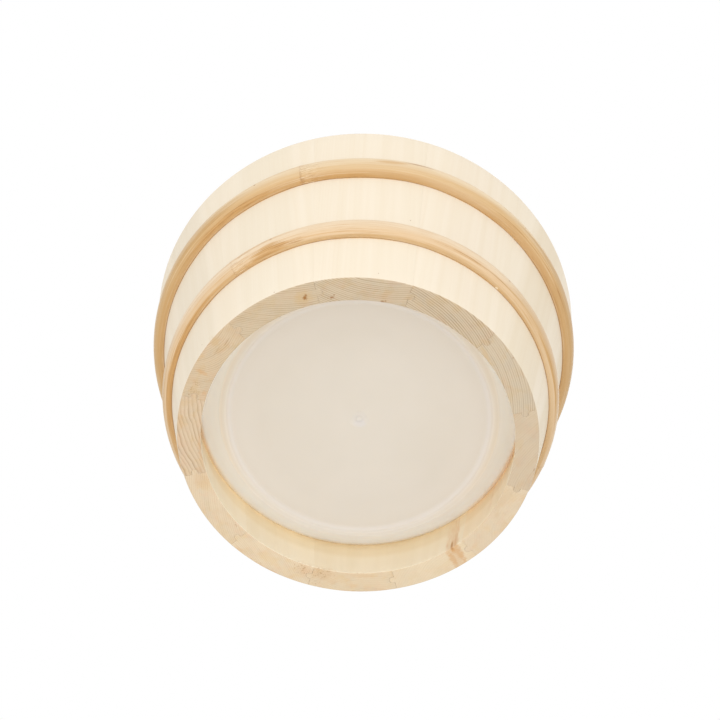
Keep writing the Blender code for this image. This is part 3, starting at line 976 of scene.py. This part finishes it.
# Where the floor, the base and the wall are divided, and the steps of rounded corners and the lip
FLOOR_RADII = (0.0, 0.03, 0.06)
BASE_RADIUS = 0.05
GATE_MARGIN = 0.003
INNER_WALL_SHARES = (0.25, 0.5, 0.75)
OUTER_WALL_HEIGHTS = (0.13, 0.09)
CORNER_STEPS = 10
LIP_STEPS = 12


def plastic_material():
    """Milky plastic that lets light through, finely satin, paler in the corner with painted light.
    """
    shader = Shader("milky_plastic")
    place = shader.node("TexCoord", {}).outputs["Object"]
    radius = shader.vector("LENGTH", shader.vector("MULTIPLY", place, (1.0, 1.0, 0.0)))
    grain = shader.stretched(place, (900.0, 900.0, 900.0), detail=2.0)
    haze = shader.stretched(place, (14.0, 14.0, 14.0), detail=3.0)
    color = shader.mix(shader.span(haze, 0.3, 0.7), *PLASTIC_FLAT)
    # Painted light: paler bands over the foot ring and the corner.
    for start, end, band_color in PAINTED_GLOW_BANDS:
        color = shader.mix(shader.span(radius, start, end), color, band_color)
    # Painted light: a pale spot on the lit side of the gate's dimple.
    gate_light = shader.vector("SUBTRACT", place, GATE_LIGHT_PLACE)
    gate_light = shader.vector("MULTIPLY", gate_light, (1 / GATE_LIGHT_SIZES[0], 1 / GATE_LIGHT_SIZES[1], 0.0))
    gate_light = shader.fade(shader.vector("LENGTH", gate_light), *GATE_LIGHT_FADES, GATE_LIGHT_STRENGTH)
    color = shader.mix(gate_light, color, GATE_LIGHT_COLOR)
    # Painted reflection: a warm tint from the wood on the corner's sides, fading towards +Y.
    wood_reflection = shader.fade(shader.split(place)[1], *REFLECTION_FADES)
    wood_reflection = shader.times(shader.span(radius, *REFLECTION_BAND), wood_reflection)
    color = shader.tint(wood_reflection, color, PAINTED_WOOD_REFLECTION)
    color = shader.mix(shader.span(shader.split(place)[2], *WALL_BAND), color, PLASTIC_WALL)
    glow = shader.span(radius, *GLOW_BAND, *PLASTIC_GLOW)
    glow = shader.times(glow, shader.span(radius, *KNEE_BAND, 1.0, KNEE_GLOW))
    shader.put(shader.surface.inputs["Subsurface Weight"], glow)
    shader.surface.inputs["Subsurface Radius"].default_value = SCATTER_COLOR
    shader.surface.inputs["Subsurface Scale"].default_value = SCATTER_LENGTH
    roughness = shader.span(grain, 0.3, 0.7, *PLASTIC_ROUGHNESS)
    return shader.finish(color, roughness, PLASTIC_SPECULAR, grain, PLASTIC_RELIEF)


def arc_points(centre, radius, start, end, steps):
    """Points on an arc in the (radius, height) plane, from one angle to another."""
    points = []
    for step in range(steps + 1):
        angle = start + (end - start) * step / steps
        points.append((centre[0] + radius * math.cos(angle), centre[1] + radius * math.sin(angle)))
    return points


def rounded(points, steps=5):
    """A line of (radius, height, rounding) points with its corners rounded off."""
    line = []
    for index, (x, y, rounding) in enumerate(points):
        corner = Vector((x, y))
        if rounding == 0 or index in (0, len(points) - 1):
            line.append((x, y))
            continue
        back = (Vector(points[index - 1][:2]) - corner).normalized() * rounding
        ahead = (Vector(points[index + 1][:2]) - corner).normalized() * rounding
        for step in range(steps + 1):
            share = step / steps
            point = corner + back * (1 - share) ** 2 + ahead * share ** 2
            line.append((point.x, point.y))
    return line


def liner_outside(height):
    return inner_radius(height) - LINER_SIDE_CLEARANCE / SLOPE_COS


def liner_inside(height):
    return liner_outside(height) - LINER_WALL / SLOPE_COS


def rounding_centre(corner, first_inward, second_inward, radius):
    """Centre of the arc that rounds a corner between two lines, given their inward normals."""
    inward = (first_inward + second_inward) / (1 + first_inward.dot(second_inward))
    return corner + inward * radius


def liner_corner(setback, knee_reach):
    """The slanted corner between wall and base, from the wall down, set back into the plastic."""
    flat_edge = Vector((LINER_FLAT_RADIUS, LINER_BASE_ABOVE_FOOT))
    knee = Vector((liner_outside(LINER_KNEE_HEIGHT), LINER_KNEE_HEIGHT))
    slant = math.atan2(knee.y - flat_edge.y, knee.x - flat_edge.x)
    wall_inward = Vector((-SLOPE_COS, SLOPE_SIN))
    slant_inward = Vector((-math.sin(slant), math.cos(slant)))
    knee_centre = rounding_centre(knee, wall_inward, slant_inward, knee_reach)
    flat_centre = rounding_centre(flat_edge, slant_inward, Vector((0, 1)), LINER_FLAT_ROUNDING)
    across_slant = slant - math.pi / 2
    knee_radius, flat_radius = knee_reach - setback, LINER_FLAT_ROUNDING - setback
    points = arc_points(knee_centre, knee_radius, -SLOPE, across_slant, CORNER_STEPS)
    points.extend(arc_points(flat_centre, flat_radius, across_slant, -math.pi / 2, CORNER_STEPS))
    return points


def liner_profile():
    """Closed section, from the axis up the inside, over the lip and down the outside."""
    base = LINER_BASE_ABOVE_FOOT
    floor = base + LINER_WALL
    rest = BUCKET_HEIGHT + LINER_SEAT_GAP
    lip_top = rest + LIP_THICKNESS
    edge_radius = LIP_THICKNESS / 2
    profile = [(radius, floor) for radius in FLOOR_RADII]
    profile.extend(reversed(liner_corner(LINER_WALL, LINER_WALL + LINER_KNEE_INNER_ROUNDING)))
    roll_run = LIP_INNER_RADIUS * math.tan((math.pi / 2 - SLOPE) / 2)
    roll_centre = (liner_inside(lip_top) + roll_run, lip_top - LIP_INNER_RADIUS)
    wall_low, wall_high = profile[-1], roll_centre
    for share in INNER_WALL_SHARES:
        height = wall_low[1] + (wall_high[1] - wall_low[1]) * share
        profile.append((liner_inside(height), height))
    roll_start = math.pi - SLOPE
    profile.extend(arc_points(roll_centre, LIP_INNER_RADIUS, roll_start, math.pi / 2, CORNER_STEPS))
    edge_centre = (RIM_RADIUS - LIP_SETBACK - edge_radius, rest + edge_radius)
    profile.extend(arc_points(edge_centre, edge_radius, math.pi / 2, -math.pi / 2, LIP_STEPS))
    profile.append((liner_outside(rest) + STAVE_EDGE_RADIUS, rest))
    profile.append((liner_outside(rest - STAVE_EDGE_RADIUS), rest - STAVE_EDGE_RADIUS))
    for height in OUTER_WALL_HEIGHTS:
        profile.append((liner_outside(height), height))
    corner = liner_corner(0.0, LINER_KNEE_ROUNDING)
    profile.extend(point for point in corner if point[0] > FOOT_RING_MEETS_CORNER)

    crest = base - FOOT_RING_HEIGHT
    outer_foot = FOOT_RING_RADIUS + FOOT_RING_WIDTH / 2
    inner_foot = FOOT_RING_RADIUS - FOOT_RING_WIDTH / 2
    profile.extend(rounded((
        (*profile[-1], 0),
        (outer_foot, crest, FOOT_RING_ROUNDING),
        (inner_foot, crest, FOOT_RING_CREST_ROUNDING),
        (inner_foot - FOOT_RING_DRAFT, base, FOOT_RING_ROUNDING),
        (BASE_RADIUS, base, 0),
    ))[1:])
    gate_floor = base + GATE_DEPTH
    stub_top = gate_floor - GATE_STUB_HEIGHT
    profile.extend(rounded((
        (GATE_RADIUS + GATE_MARGIN, base, 0),
        (GATE_RADIUS, base, GATE_EDGE_ROUNDING),
        (GATE_RADIUS - GATE_DRAFT, gate_floor, GATE_FLOOR_ROUNDING),
        (GATE_STUB_RADIUS + GATE_STUB_DRAFT, gate_floor, GATE_STUB_ROUNDING),
        (GATE_STUB_RADIUS, stub_top, GATE_STUB_ROUNDING),
        (0.0, stub_top, 0),
    )))
    return profile


def make_liner():
    """The moulded bowl, turned about the bucket's axis."""
    steps = 240
    profile = liner_profile()
    first, last = profile[0], profile[-1]
    ring_points = profile[1:-1]
    vertices = [Vector((0, 0, first[1])), Vector((0, 0, last[1]))]
    for step in range(steps):
        azimuth = 2 * math.pi * step / steps
        vertices.extend(on_circle(radius, azimuth, height) for radius, height in ring_points)
    faces = []
    count = len(ring_points)
    for step in range(steps):
        here = 2 + step * count
        there = 2 + (step + 1) % steps * count
        faces.append((0, here, there))
        faces.append((1, there + count - 1, here + count - 1))
        for index in range(count - 1):
            faces.append((here + index, here + index + 1, there + index + 1, there + index))
    mesh = smooth_mesh("fine_liner", vertices, faces)
    finish_piece("liner", mesh, plastic_material(), "liner")


# Stage

def make_floor():
    """A pale floor that shows from above, and lets the view and the light in from below."""
    mesh = bpy.data.meshes.new("floor")
    turns = [2 * math.pi * corner / FLOOR_CORNERS for corner in range(FLOOR_CORNERS)]
    rim = [(FLOOR_RADIUS * math.cos(turn), FLOOR_RADIUS * math.sin(turn), 0) for turn in turns]
    mesh.from_pydata(rim, [], [tuple(range(FLOOR_CORNERS))])
    floor = add_object("floor", mesh)
    floor.location.z = -FLOOR_BELOW_FOOT
    material = bpy.data.materials.new("floor")
    material.use_nodes = True
    material.node_tree.nodes.clear()
    nodes = Nodes(material.node_tree)
    seen = nodes.node("LightPath", {}).outputs["Is Camera Ray"]
    from_below = nodes.node("NewGeometry", {}).outputs["Backfacing"]
    shown = nodes.node("Math", {0: seen, 1: from_below}, operation="SUBTRACT", use_clamp=True)
    clear = nodes.node("BsdfTransparent", {})
    paint = nodes.node("BsdfDiffuse", {"Color": FLOOR_COLOR})
    choice = {0: shown.outputs[0], 1: clear.outputs[0], 2: paint.outputs[0]}
    nodes.node("OutputMaterial", {"Surface": nodes.node("MixShader", choice).outputs[0]})
    mesh.materials.append(material)


def make_world():
    """Soft light, a little stronger from below, with white behind the object for the camera."""
    world = bpy.data.worlds.new("studio")
    scene.world = world
    world.use_nodes = True
    nodes = Nodes(world.node_tree)
    height = nodes.split(nodes.node("TexCoord", {}).outputs["Generated"])[2]
    ambient = nodes.span(height, *HORIZON, LIGHT_FROM_BELOW, LIGHT_FROM_ABOVE)
    ray = nodes.node("LightPath", {}).outputs
    mirrored = nodes.math("MAXIMUM", ray["Is Glossy Ray"], ray["Is Transmission Ray"])
    seen = nodes.math("MAXIMUM", ray["Is Camera Ray"], mirrored)
    background = world.node_tree.nodes["Background"]
    nodes.put(background.inputs["Color"], WHITE)
    strength = nodes.node("Mix", {0: seen, 2: ambient, 3: 1.0})
    nodes.put(background.inputs["Strength"], strength.outputs[0])


def add_lamp(name, place, aim, size, power):
    lamp = bpy.data.lights.new(name, "AREA")
    lamp.shape = "SQUARE"
    lamp.size = size
    lamp.energy = power
    holder = add_object(name, lamp)
    holder.location = place
    direction = Vector(aim) - Vector(place)
    holder.rotation_euler = direction.to_track_quat("-Z", "Y").to_euler()


def make_camera():
    camera = bpy.data.cameras.new("camera")
    camera.lens = CAMERA_LENS
    camera.sensor_width = CAMERA_SENSOR
    camera.clip_start = CAMERA_SEES_FROM
    holder = add_object("camera", camera)
    holder.location = CAMERA_PLACE
    holder.rotation_euler = [math.radians(angle) for angle in CAMERA_TURN]
    scene.camera = holder


for stave_index in range(STAVE_COUNT):
    make_stave(stave_index)
for hoop_name in HOOP_SIZES:
    make_hoop(hoop_name)
make_liner()
make_floor()
make_world()
for lamp_name, lamp_looks in LAMPS.items():
    add_lamp(lamp_name, *lamp_looks)
make_camera()

scene.view_settings.view_transform = "Standard"
scene.cycles.diffuse_bounces = DIFFUSE_BOUNCES
scene.cycles.max_bounces = ALL_BOUNCES
